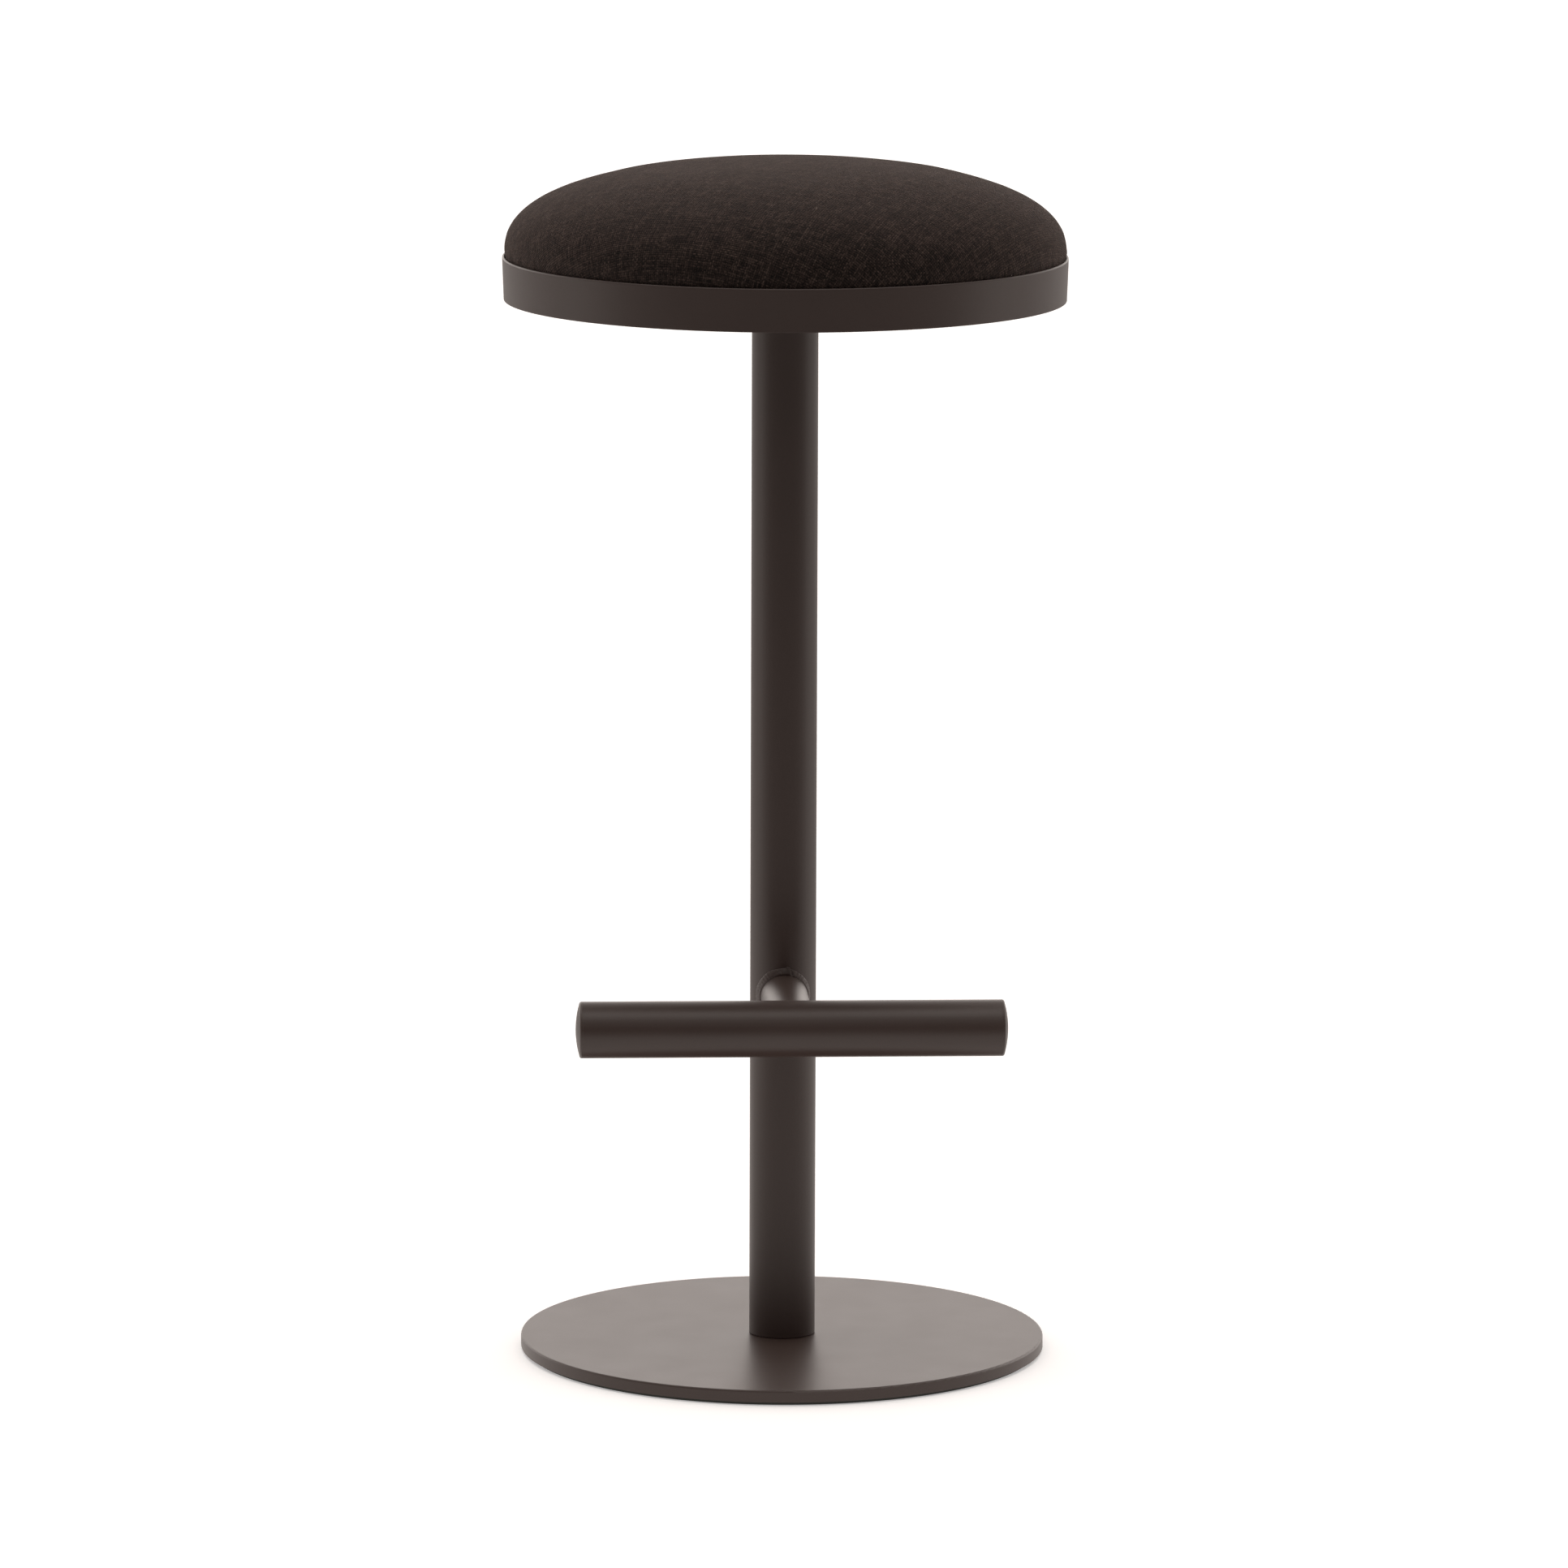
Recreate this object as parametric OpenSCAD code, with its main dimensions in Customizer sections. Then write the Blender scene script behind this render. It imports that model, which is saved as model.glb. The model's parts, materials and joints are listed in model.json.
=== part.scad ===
// Fixed-height swivelling bar stool: round weighted base, straight column, one-sided
// footrest bar, and a round upholstered seat in a steel tray that turns on a spindle.
// Origin: centre of the base on the floor.  +Z up.  The footrest points to -Y.

/* [Base] */
// Diameter of the steel base plate
base_d = 358; // [320:1:460]
// Thickness of the base plate
base_t = 8; // [8:0.5:15]
// Radius of the rounded top edge of the base plate
base_edge_r = 1.2; // [0.6:0.1:2.5]
// Height of the glide ring that lifts the plate off the floor
glide_h = 2.5; // [1.5:0.5:5]
// How far the glide ring is set in from the plate's edge
glide_inset = 4; // [3:0.5:15]

/* [Column] */
// Outside diameter of the column tube
column_d = 45; // [42:1:50]
// Wall thickness of the column tube
column_wall = 2.5; // [2:0.5:3]
// Chamfer on the foot of the column tube
column_chamfer = 0.5; // [0.2:0.1:1]

/* [Footrest] */
// Height of the footrest bar's axis above the floor
foot_z = 248; // [180:1:320]
// Distance from the column's axis to the footrest bar's axis
foot_reach = 132; // [100:1:180]
// Outside diameter of the footrest bar
foot_d = 38; // [34:1:42]
// Length of the footrest tube without its end caps
foot_len = 281; // [220:1:360]
// Thickness of an end cap's rim, which covers the end of the tube
cap_rim = 2; // [1.8:0.1:4]
// Radius of the rounded edge of an end cap
cap_edge_r = 1.7; // [0.5:0.1:1.8]
// Height of an end cap's dome above its rim
cap_dome = 2.4; // [1:0.1:4]
// Outside diameter of the stub that carries the bar
stub_d = 32; // [25:1:32]
// Wall thickness of the footrest tubes
foot_wall = 2; // [1.5:0.5:3]

/* [Seat] */
// Height of the seat tray's lower edge above the floor
tray_z = 724; // [600:1:780]
// Height of the tray's band
band_h = 29; // [26:0.5:40]
// Outside diameter of the band at its lower edge
tray_d = 380; // [340:1:420]
// Thickness of the band
band_t = 2; // [1.5:0.5:2.5]
// How much wider the band is at the top than at the bottom, on the radius
band_flare = 1; // [0:0.5:2]
// Height of the cushion's crown above the band
crown_h = 64; // [45:1:80]
// Thickness of the upholstery fabric
fabric_t = 1.5; // [1:0.1:2]

/* [Swivel] */
// Diameter of the swivel spindle
spindle_d = 20; // [18:1:22]
// Radial running clearance between the spindle and its bushes
spindle_fit = 0.05; // [0.02:0.01:0.1]
// Diameter of the steel plate that carries the seat
swivel_plate_d = 140; // [120:1:180]
// Pitch circle diameter of the four seat screws
seat_pcd = 110; // [100:1:120]

/* [Hidden] */

$fn = 96;
eps = 0.01;
over = 1;

powder = "#4a4240";
steel = "#a8a8a8";
acetal = "#1c1c1c";
rubber = "#222222";
fabric = "#262120";

// Base
base_r = base_d / 2;
plate_z0 = glide_h;
plate_z1 = glide_h + base_t;
glide_r = base_r - glide_inset;
glide_w = 16;
tongue_w = 4;
tongue_h = 1.5;
bolt_d = 12;
bolt_head_d = 24;
bolt_head_h = 6.6;
bolt_len = 40;
bolt_clear_d = 13;
bolt_seat_clear = 0.1;
hex_af = 8;
hex_depth = 4;
dowel_d = 6;
dowel_offset = 16;
dowel_rise = 14;

// Column
column_r = column_d / 2;
bore_r = column_r - column_wall;
plug_h = 45;
thrust_t = 2;
plate_t = 5;
pan_drop = 3;
pan_t = 3;
pan_z0 = tray_z + pan_drop;
pan_z1 = pan_z0 + pan_t;
swivel_z0 = pan_z0 - plate_t;
housing_top = swivel_z0 - thrust_t;
flange_h = 4;
column_top = housing_top - flange_h;

// Footrest
foot_r = foot_d / 2;
stub_r = stub_d / 2;
weld_leg = 3;
cap_spigot = 10;

// Swivel
spindle_r = spindle_d / 2;
bush_wall = 2;
bush_r = spindle_r + bush_wall;
bush_flange_r = bush_r + 3;
bush_flange_t = 2;
bush_len = 25;
housing_len = 66;
housing_bottom = column_top - housing_len;
thrust_clear = 1;
axial_play = 0.2;
washer_r = 17;
washer_t = 2;
washer_clear = 0.3;
clip_t = 1.2;
clip_groove = 1.3;
clip_depth = 0.5;
clip_w = 2.6;
clip_gap_deg = 50;
clip_lug_r = 2;
clip_lug_hole_r = 0.9;
washer_top = housing_bottom - axial_play;
clip_top = washer_top - washer_t;
spindle_bottom = clip_top - 6;

// Seat fasteners
seat_screw_n = 4;
screw_r = 3;
screw_hole_r = 3.3;
screw_head_r = 5.25;
screw_head_h = 3.3;
screw_len = 23;
screw_hex_af = 4;
screw_hex_depth = 2;
screw_washer_r = 6;
screw_washer_t = 1.6;
tee_r = 9.5;
tee_t = 1.5;
tee_barrel_r = 4;
tee_barrel_h = 9;

// Seat
tray_r = tray_d / 2;
band_top = tray_z + band_h;
pan_r = tray_r + band_flare * pan_drop / band_h - band_t;
cover_gap = 0.5;
board_t = 12;
board_z0 = pan_z1 + fabric_t;
board_z1 = board_z0 + board_t;
cover_r = pan_r - cover_gap;
board_r = cover_r - fabric_t;
crown_top = band_top + crown_h;
turn_under = 26;
dome_steps = 22;
dome_power = 2.3;
staple_n = 28;
staple_w = 10;
staple_wire = 1;
staple_leg = 8;
staple_r = board_r - 14;

// A tube that stands on the XY plane
module pipe(r_out, r_in, h) {
    difference() {
        cylinder(r = r_out, h = h);
        translate([0, 0, -over]) cylinder(r = r_in, h = h + 2 * over);
    }
}

// A cylinder along the Y axis from y0 to y1 at height z
module rod_y(r, y0, y1, z) {
    translate([0, y1, z]) rotate([90, 0, 0]) cylinder(r = r, h = y1 - y0);
}

// A cylinder along the X axis, centred on the footrest bar's axis
module rod_bar(r, len) {
    translate([-len / 2, -foot_reach, foot_z]) rotate([0, 90, 0]) cylinder(r = r, h = len);
}

// Children repeated around the Z axis
module ring_of(n, r, start = 0) {
    for (i = [0 : n - 1]) {
        rotate([0, 0, start + i * 360 / n]) translate([r, 0, 0]) children();
    }
}

// A hexagon socket's cutting shape
module hex_key(af, h) {
    cylinder(d = af / cos(30), h = h, $fn = 6);
}

// One point of the cushion's crowned outline, for a from 0 at the rim to 90 at the top
function dome_point(a, r, z0, z1) = [
    r * pow(cos(a), 2 / dome_power),
    z0 + (z1 - z0) * pow(sin(a), 2 / dome_power)
];

// The cushion's half outline: straight side from z_low to z_side, then the crown
function dome_outline(r, z_low, z_side, z_top) = concat(
    [[0, z_low], [r, z_low]],
    [for (i = [0 : dome_steps - 1]) dome_point(90 * i / dome_steps, r, z_side, z_top)],
    [[0, z_top]]
);

// ---- Stand ----

module base_plate() {
    color(powder) difference() {
        rotate_extrude($fn = 180) {
            square([base_r - base_edge_r, plate_z1]);
            square([base_r, plate_z1 - base_edge_r]);
            translate([base_r - base_edge_r, plate_z1 - base_edge_r]) circle(r = base_edge_r, $fn = 32);
        }
        translate([0, 0, -over]) cylinder(r = base_r + over, h = plate_z0 + over, $fn = 180);
        glide_tongue(over);
        translate([0, 0, plate_z0 - over]) cylinder(d = bolt_clear_d, h = base_t + 2 * over);
        translate([0, 0, plate_z0]) bolt_head(bolt_seat_clear);
        translate([0, 0, plate_z0 - over]) cylinder(d = bolt_head_d + 2 * bolt_seat_clear, h = over);
        translate([0, dowel_offset, plate_z0 - over]) cylinder(d = dowel_d, h = base_t + 2 * over);
    }
}

module glide_tongue(extra) {
    mid_r = glide_r - glide_w / 2;
    translate([0, 0, plate_z0 - extra]) difference() {
        cylinder(r = mid_r + tongue_w / 2, h = tongue_h + extra, $fn = 180);
        translate([0, 0, -over]) {
            cylinder(r = mid_r - tongue_w / 2, h = tongue_h + extra + 2 * over, $fn = 180);
        }
    }
}

module base_glide_ring() {
    color(rubber) union() {
        difference() {
            cylinder(r = glide_r, h = glide_h, $fn = 180);
            translate([0, 0, -over]) cylinder(r = glide_r - glide_w, h = glide_h + 2 * over, $fn = 180);
        }
        glide_tongue(eps);
    }
}

module column_tube() {
    color(powder) rotate_extrude() {
        polygon([
            [bore_r, plate_z1],
            [column_r - column_chamfer, plate_z1],
            [column_r, plate_z1 + column_chamfer],
            [column_r, column_top],
            [bore_r, column_top]
        ]);
    }
}

module column_foot_plug() {
    color(steel) difference() {
        translate([0, 0, plate_z1]) cylinder(r = bore_r, h = plug_h);
        translate([0, 0, plate_z1 - over]) cylinder(d = bolt_d, h = plug_h + 2 * over);
        translate([0, dowel_offset, plate_z1 - over]) cylinder(d = dowel_d, h = dowel_rise - base_t + over);
    }
}

// The countersunk head of the column bolt, made `extra` wider for its seat in the plate
module bolt_head(extra) {
    cylinder(r1 = bolt_head_d / 2 + extra, r2 = bolt_d / 2 + extra, h = bolt_head_h);
}

module column_bolt() {
    color(steel) translate([0, 0, plate_z0]) difference() {
        union() {
            bolt_head(0);
            cylinder(d = bolt_d, h = bolt_len);
        }
        translate([0, 0, -over]) hex_key(hex_af, hex_depth + over);
    }
}

module column_dowel() {
    color(steel) translate([0, dowel_offset, plate_z0]) cylinder(d = dowel_d, h = dowel_rise);
}

// ---- Footrest ----

module footrest_stub() {
    color(powder) difference() {
        rod_y(stub_r, -foot_reach, 0, foot_z);
        rod_y(stub_r - foot_wall, -foot_reach - over, over, foot_z);
        cylinder(r = column_r, h = column_top);
        rod_bar(foot_r, foot_len);
    }
}

module footrest_bar() {
    color(powder) difference() {
        rod_bar(foot_r, foot_len);
        rod_bar(foot_r - foot_wall, foot_len + 2 * over);
    }
}

// Half outline of an end cap: a spigot inside the tube, a rounded rim on its end, a shallow dome
module cap_outline() {
    spigot_r = foot_r - foot_wall;
    face_r = foot_r - cap_edge_r;
    dome_r = (face_r * face_r + cap_dome * cap_dome) / (2 * cap_dome);
    translate([0, -cap_spigot]) square([spigot_r, cap_spigot]);
    square([face_r, cap_rim]);
    square([foot_r, cap_rim - cap_edge_r]);
    intersection() {
        translate([face_r, cap_rim - cap_edge_r]) circle(r = cap_edge_r, $fn = 48);
        square([foot_r, cap_rim]);
    }
    translate([0, cap_rim]) intersection() {
        translate([0, cap_dome - dome_r]) circle(r = dome_r, $fn = 360);
        square([face_r, cap_dome]);
    }
}

module footrest_cap() {
    translate([foot_len / 2, -foot_reach, foot_z]) rotate([0, 90, 0]) rotate_extrude() cap_outline();
}

module footrest_cap_left() {
    color(powder) mirror([1, 0, 0]) footrest_cap();
}

module footrest_cap_right() {
    color(powder) footrest_cap();
}

// The weld bead that follows the saddle where the stub meets a tube: the skin common to
// a sleeve around the stub and a sleeve around the tube
module stub_weld_column() {
    color(powder) difference() {
        intersection() {
            rod_y(stub_r + weld_leg, -column_r - weld_leg, 0, foot_z);
            translate([0, 0, foot_z - stub_d]) cylinder(r = column_r + weld_leg, h = 2 * stub_d);
        }
        rod_y(stub_r, -column_d, over, foot_z);
        translate([0, 0, foot_z - column_d]) cylinder(r = column_r, h = 2 * column_d);
    }
}

module stub_weld_bar() {
    color(powder) difference() {
        intersection() {
            rod_y(stub_r + weld_leg / 2, -foot_reach, -foot_reach + foot_r + weld_leg, foot_z);
            rod_bar(foot_r + weld_leg, 2 * stub_d);
        }
        rod_y(stub_r, -foot_reach - over, 0, foot_z);
        rod_bar(foot_r, 4 * stub_d);
    }
}

// ---- Swivel, fixed half ----

module swivel_housing() {
    color(powder) difference() {
        union() {
            translate([0, 0, column_top]) cylinder(r = column_r, h = flange_h);
            translate([0, 0, housing_bottom]) cylinder(r = bore_r, h = housing_len);
        }
        translate([0, 0, housing_bottom - over]) {
            cylinder(r = bush_r, h = housing_len + flange_h + 2 * over);
        }
        translate([0, 0, housing_top - bush_flange_t]) cylinder(r = bush_flange_r, h = bush_flange_t + over);
        translate([0, 0, housing_bottom - over]) cylinder(r = bush_flange_r, h = bush_flange_t + over);
    }
}

// A flanged bush with its flange at the top, on z = 0
module bush() {
    difference() {
        union() {
            translate([0, 0, -bush_flange_t]) cylinder(r = bush_flange_r, h = bush_flange_t);
            translate([0, 0, -bush_len]) cylinder(r = bush_r, h = bush_len);
        }
        translate([0, 0, -bush_len - over]) cylinder(r = spindle_r + spindle_fit, h = bush_len + 2 * over);
    }
}

module swivel_bush_upper() {
    color(acetal) translate([0, 0, housing_top]) bush();
}

module swivel_bush_lower() {
    color(acetal) translate([0, 0, housing_bottom]) mirror([0, 0, 1]) bush();
}

module thrust_washer() {
    color(acetal) translate([0, 0, housing_top]) {
        pipe(column_r - thrust_clear, spindle_r + thrust_clear, thrust_t);
    }
}

// ---- Swivel, turning half ----

module swivel_spindle() {
    color(steel) difference() {
        translate([0, 0, spindle_bottom]) cylinder(r = spindle_r, h = pan_z0 - spindle_bottom);
        translate([0, 0, clip_top - clip_groove]) {
            pipe(spindle_r + over, spindle_r - clip_depth, clip_groove);
        }
    }
}

module spindle_washer() {
    color(steel) translate([0, 0, clip_top]) pipe(washer_r, spindle_r + washer_clear, washer_t);
}

module spindle_circlip() {
    r_in = spindle_r - clip_depth;
    r_out = r_in + clip_w;
    mouth = clip_gap_deg / 2;
    wedge = 2 * r_out * [cos(mouth), sin(mouth)];
    color(steel) translate([0, 0, clip_top - clip_t]) difference() {
        union() {
            difference() {
                pipe(r_out, r_in, clip_t);
                translate([0, 0, -over]) linear_extrude(clip_t + 2 * over) {
                    polygon([[0, 0], wedge, [wedge.x, -wedge.y]]);
                }
            }
            for (side = [-1, 1]) {
                rotate([0, 0, side * mouth]) translate([r_out, 0, 0]) cylinder(r = clip_lug_r, h = clip_t);
            }
        }
        for (side = [-1, 1]) {
            rotate([0, 0, side * mouth]) translate([r_out, 0, -over]) {
                cylinder(r = clip_lug_hole_r, h = clip_t + 2 * over);
            }
        }
        translate([0, 0, -over]) cylinder(r = r_in, h = clip_t + 2 * over);
    }
}

module swivel_plate() {
    color(powder) translate([0, 0, swivel_z0]) difference() {
        cylinder(d = swivel_plate_d, h = plate_t);
        translate([0, 0, -over]) cylinder(r = spindle_r, h = plate_t + 2 * over);
        ring_of(seat_screw_n, seat_pcd / 2, 45) {
            translate([0, 0, -over]) cylinder(r = screw_hole_r, h = plate_t + 2 * over);
        }
    }
}

module seat_screws() {
    head_z = swivel_z0 - screw_washer_t;
    color(steel) ring_of(seat_screw_n, seat_pcd / 2, 45) {
        difference() {
            union() {
                translate([0, 0, head_z]) cylinder(r = screw_r, h = screw_len);
                translate([0, 0, head_z - screw_head_h]) {
                    cylinder(r1 = screw_head_r * 0.6, r2 = screw_head_r, h = screw_head_h);
                }
            }
            translate([0, 0, head_z - screw_head_h - over]) hex_key(screw_hex_af, screw_hex_depth + over);
        }
    }
}

module seat_screw_washers() {
    color(steel) ring_of(seat_screw_n, seat_pcd / 2, 45) {
        translate([0, 0, swivel_z0 - screw_washer_t]) pipe(screw_washer_r, screw_hole_r, screw_washer_t);
    }
}

// ---- Seat ----

module seat_band() {
    color(powder) rotate_extrude($fn = 180) {
        polygon([
            [tray_r - band_t, tray_z],
            [tray_r, tray_z],
            [tray_r + band_flare, band_top - band_t / 2],
            [tray_r + band_flare - band_t, band_top - band_t / 2]
        ]);
        translate([tray_r + band_flare - band_t / 2, band_top - band_t / 2]) circle(d = band_t, $fn = 32);
    }
}

module seat_pan() {
    color(powder) translate([0, 0, pan_z0]) difference() {
        cylinder(r = pan_r, h = pan_t, $fn = 180);
        ring_of(seat_screw_n, seat_pcd / 2, 45) {
            translate([0, 0, -over]) cylinder(r = screw_hole_r, h = pan_t + 2 * over);
        }
    }
}

module seat_board() {
    color("#c9a671") difference() {
        translate([0, 0, board_z0]) cylinder(r = board_r, h = board_t, $fn = 180);
        ring_of(seat_screw_n, seat_pcd / 2, 45) {
            translate([0, 0, board_z0 - over]) cylinder(r = tee_barrel_r, h = board_t + 2 * over);
        }
        staple_set();
    }
}

module seat_tee_nuts() {
    color(steel) ring_of(seat_screw_n, seat_pcd / 2, 45) {
        difference() {
            union() {
                translate([0, 0, board_z1]) cylinder(r = tee_r, h = tee_t);
                translate([0, 0, board_z1 - tee_barrel_h]) cylinder(r = tee_barrel_r, h = tee_barrel_h);
            }
            translate([0, 0, board_z1 - tee_barrel_h - over]) {
                cylinder(r = screw_r, h = tee_barrel_h + tee_t + 2 * over);
            }
        }
    }
}

module seat_foam() {
    color("#efe7c8") difference() {
        rotate_extrude($fn = 120) {
            polygon(dome_outline(board_r, board_z1, band_top, crown_top - fabric_t));
        }
        ring_of(seat_screw_n, seat_pcd / 2, 45) {
            translate([0, 0, board_z1 - over]) cylinder(r = tee_r, h = tee_t + over);
        }
    }
}

module seat_cover() {
    color(fabric) difference() {
        rotate_extrude($fn = 120) {
            difference() {
                polygon(dome_outline(cover_r, pan_z1, band_top, crown_top));
                polygon(dome_outline(board_r, board_z0, band_top, crown_top - fabric_t));
                translate([-over, pan_z1 - over]) square([board_r - turn_under + over, fabric_t + 2 * over]);
            }
        }
        staple_set();
    }
}

// Staples that hold the turned-under edge of the cover to the board
module staple_set() {
    ring_of(staple_n, staple_r) {
        translate([-staple_wire / 2, -staple_w / 2, pan_z1]) {
            cube([staple_wire, staple_w, staple_wire]);
            for (y = [0, staple_w - staple_wire]) {
                translate([0, y, 0]) cube([staple_wire, staple_wire, staple_leg]);
            }
        }
    }
}

module cover_staples() {
    color(steel) staple_set();
}

base_plate();
base_glide_ring();
column_tube();
column_foot_plug();
column_bolt();
column_dowel();
footrest_stub();
footrest_bar();
footrest_cap_left();
footrest_cap_right();
stub_weld_column();
stub_weld_bar();
swivel_housing();
swivel_bush_upper();
swivel_bush_lower();
thrust_washer();
swivel_spindle();
spindle_washer();
spindle_circlip();
swivel_plate();
seat_screws();
seat_screw_washers();
seat_band();
seat_pan();
seat_board();
seat_tee_nuts();
seat_foam();
seat_cover();
cover_staples();
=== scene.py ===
# %% [markdown]
# # A bar stool with a footrest: powder-coated steel and an upholstered seat
#
# The stool is a heavy steel disc, one straight tube, a short side tube that carries a
# footrest bar, and a round padded seat in a steel tray that turns on a spindle. Its
# design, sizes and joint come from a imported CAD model. That model is the fixed frame:
# nothing here moves or resizes it. This lesson gives every piece its finish, and makes
# by mesh code the pieces that a CAD solid can't show well: the stretched fabric and the
# weld beads.

# %% Load the fixed frame
import json
import math

import bmesh
import bpy
import numpy as np
from mathutils import Matrix, Vector, noise


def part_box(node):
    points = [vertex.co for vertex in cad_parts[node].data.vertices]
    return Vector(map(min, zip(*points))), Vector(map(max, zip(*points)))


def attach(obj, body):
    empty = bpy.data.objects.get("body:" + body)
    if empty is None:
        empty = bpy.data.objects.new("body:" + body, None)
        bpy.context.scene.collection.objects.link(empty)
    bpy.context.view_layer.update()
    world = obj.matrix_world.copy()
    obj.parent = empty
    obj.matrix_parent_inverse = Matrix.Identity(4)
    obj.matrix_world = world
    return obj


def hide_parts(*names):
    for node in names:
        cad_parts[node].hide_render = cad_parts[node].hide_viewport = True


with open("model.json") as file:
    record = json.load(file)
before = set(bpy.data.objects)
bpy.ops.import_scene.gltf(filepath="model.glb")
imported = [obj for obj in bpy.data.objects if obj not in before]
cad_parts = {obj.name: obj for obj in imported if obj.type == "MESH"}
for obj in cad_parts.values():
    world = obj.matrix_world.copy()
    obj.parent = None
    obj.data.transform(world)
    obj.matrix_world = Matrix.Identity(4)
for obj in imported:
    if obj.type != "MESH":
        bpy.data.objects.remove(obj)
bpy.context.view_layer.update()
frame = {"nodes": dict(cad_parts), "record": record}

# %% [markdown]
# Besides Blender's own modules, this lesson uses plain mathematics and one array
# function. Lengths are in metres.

MM = 0.001
scene = bpy.context.scene

# %% [markdown]
# ## The sizes this script needs
#
# When the CAD changes, these follow it.

# %% Measure the frame


def radius(node):
    """Half the width of a round upright piece."""
    low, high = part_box(node)
    return (high[0] - low[0]) / 2


column_r = radius("column_tube")
bar_low, bar_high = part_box("footrest_bar")
bar_r = (bar_high[2] - bar_low[2]) / 2
bar_y = (bar_high[1] + bar_low[1]) / 2
foot_z = (bar_high[2] + bar_low[2]) / 2
stub_r = radius("footrest_stub")
pan_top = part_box("seat_pan")[1][2]
tucked_r = radius("seat_cover")
rim_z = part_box("seat_band")[1][2]
crown_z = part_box("seat_cover")[1][2]
heights = {"rim": rim_z, "crown": crown_z, "foot bar": foot_z}
print({name: round(z / MM, 1) for name, z in heights.items()})

# %% [markdown]
# ## Camera
#
# A long lens from a little over six and a half metres keeps the column straight and the
# discs nearly alike. The camera looks slightly down, and stands a little to one side, so
# one end of the foot bar is nearer than the other.

# %% Place the camera
CAMERA_AT = (-0.3065, -6.6266, 1.5139)
CAMERA_TURN = math.radians(2.65)
CAMERA_TILT = math.radians(-9.6)
CAMERA_ROLL = math.radians(0.19)
LENS_MM = 227.1
FARTHEST_SEEN = 60.0

camera_data = bpy.data.cameras.new("camera")
camera_data.lens = LENS_MM
camera_data.clip_end = FARTHEST_SEEN
camera = bpy.data.objects.new("camera", camera_data)
scene.collection.objects.link(camera)
camera.location = CAMERA_AT
turn = Matrix.Rotation(-CAMERA_TURN, 3, "Z")
tilt = Matrix.Rotation(math.pi / 2 + CAMERA_TILT, 3, "X")
roll = Matrix.Rotation(CAMERA_ROLL, 3, "Z")
camera.rotation_euler = (turn @ tilt @ roll).to_euler()
scene.camera = camera
print("lens", LENS_MM, "mm")

# %% [markdown]
# ## Shader helpers
#
# Every material below is a small graph of nodes. One function adds a node, sets its
# properties and either types a value into each input or joins a socket to it. Colours
# are picked as sRGB hex, the way a paint card or a screen gives them, and shaders work
# in linear light, so one function turns the first into the second.

# %% Helpers for node graphs


def linear(hex_colour):
    """An sRGB hex colour as linear red, green, blue and alpha."""
    parts = [int(hex_colour[i:i + 2], 16) / 255 for i in (1, 3, 5)]
    return [p / 12.92 if p <= 0.04045 else ((p + 0.055) / 1.055) ** 2.4 for p in parts] + [1.0]


def add(tree, kind, inputs=None, **settings):
    """Add one shader node with its settings, its typed values and its links."""
    made = tree.nodes.new("ShaderNode" + kind)
    for name, value in settings.items():
        setattr(made, name, value)
    for key, value in (inputs or {}).items():
        if isinstance(value, bpy.types.NodeSocket):
            tree.links.new(value, made.inputs[key])
        else:
            made.inputs[key].default_value = value
    return made


def material(name):
    """A new material with an empty node tree and its output node."""
    made = bpy.data.materials.new(name)
    made.use_nodes = True
    made.node_tree.nodes.clear()
    return made, made.node_tree, add(made.node_tree, "OutputMaterial")


def per_metre(size_mm):
    """The texture scale that makes one feature this many millimetres wide."""
    return 1.0 / (size_mm * MM)


NOISE_LOW, NOISE_HIGH = 0.3, 0.7  # nearly all of a noise texture lies between these
print("mid grey #808080 in linear light:", round(linear("#808080")[0], 3))

# %% [markdown]
# ## Studio
#
# The stool stands on a pale floor in a white surround, with soft light from above. Satin
# paint as dark as this shows little of its own colour. What the eye reads is the surround
# mirrored in it, so the light is set by direction:
#
# - behind and low it is brightest, which draws the light edges of the tubes and the
#   pale sheen on the base plate,
# - overhead it is nearly as bright, which lights the crown of the seat,
# - on the camera's side and low it is almost dark, which keeps the fronts deep,
# - the floor gives back a fair light near the stool and to its sides, and less in front
#   and behind, which lifts the lower half of the foot bar and leaves the column deep.
#
# The light is a little warm, so the sheen on the paint is warm too.
#
# The camera itself sees plain white. A light path tells its rays from the others.
# Directions are given as the share of a unit arrow that points back or up, from -1 to 1.

# %% Build the surround
LOW_BACK, LOW_SIDE, LOW_FRONT = 2.0, 0.4, 0.05
HIGH_BACK, HIGH_FRONT = 0.8, 0.44
OVERHEAD = 1.86
FLOOR_NEAR, FLOOR_BACK, FLOOR_SIDE, FLOOR_FRONT = 0.95, 0.52, 1.25, 0.35
SIDE_TO_BACK = (0.0, 0.7)
FRONT_TO_BACK = (-0.2, 0.2)
LOW_TO_HIGH = (0.3, 0.5)
HIGH_TO_OVERHEAD = (0.75, 0.95)
WARM_WHITE = (1.0, 0.925, 0.875, 1.0)
PLAIN_WHITE = (1.0, 1.0, 1.0, 1.0)
SEEN_BRIGHTNESS = 1.1


def fade(tree, value, reach, first, second):
    """A light level that goes softly from `first` to `second` while a value crosses `reach`."""
    share = add(tree, "MapRange", {"Value": value, "From Min": reach[0], "From Max": reach[1]},
                interpolation_type="SMOOTHSTEP").outputs["Result"]
    return add(tree, "Mix", {"Factor": share, "A": first, "B": second}).outputs["Result"]


def all_round(tree, y, reach, front, side, back):
    """A light level that depends on how far to the front or back something lies."""
    rear_half = fade(tree, y, reach, side, back)
    return fade(tree, y, (-reach[0], -reach[1]), rear_half, front)


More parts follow.
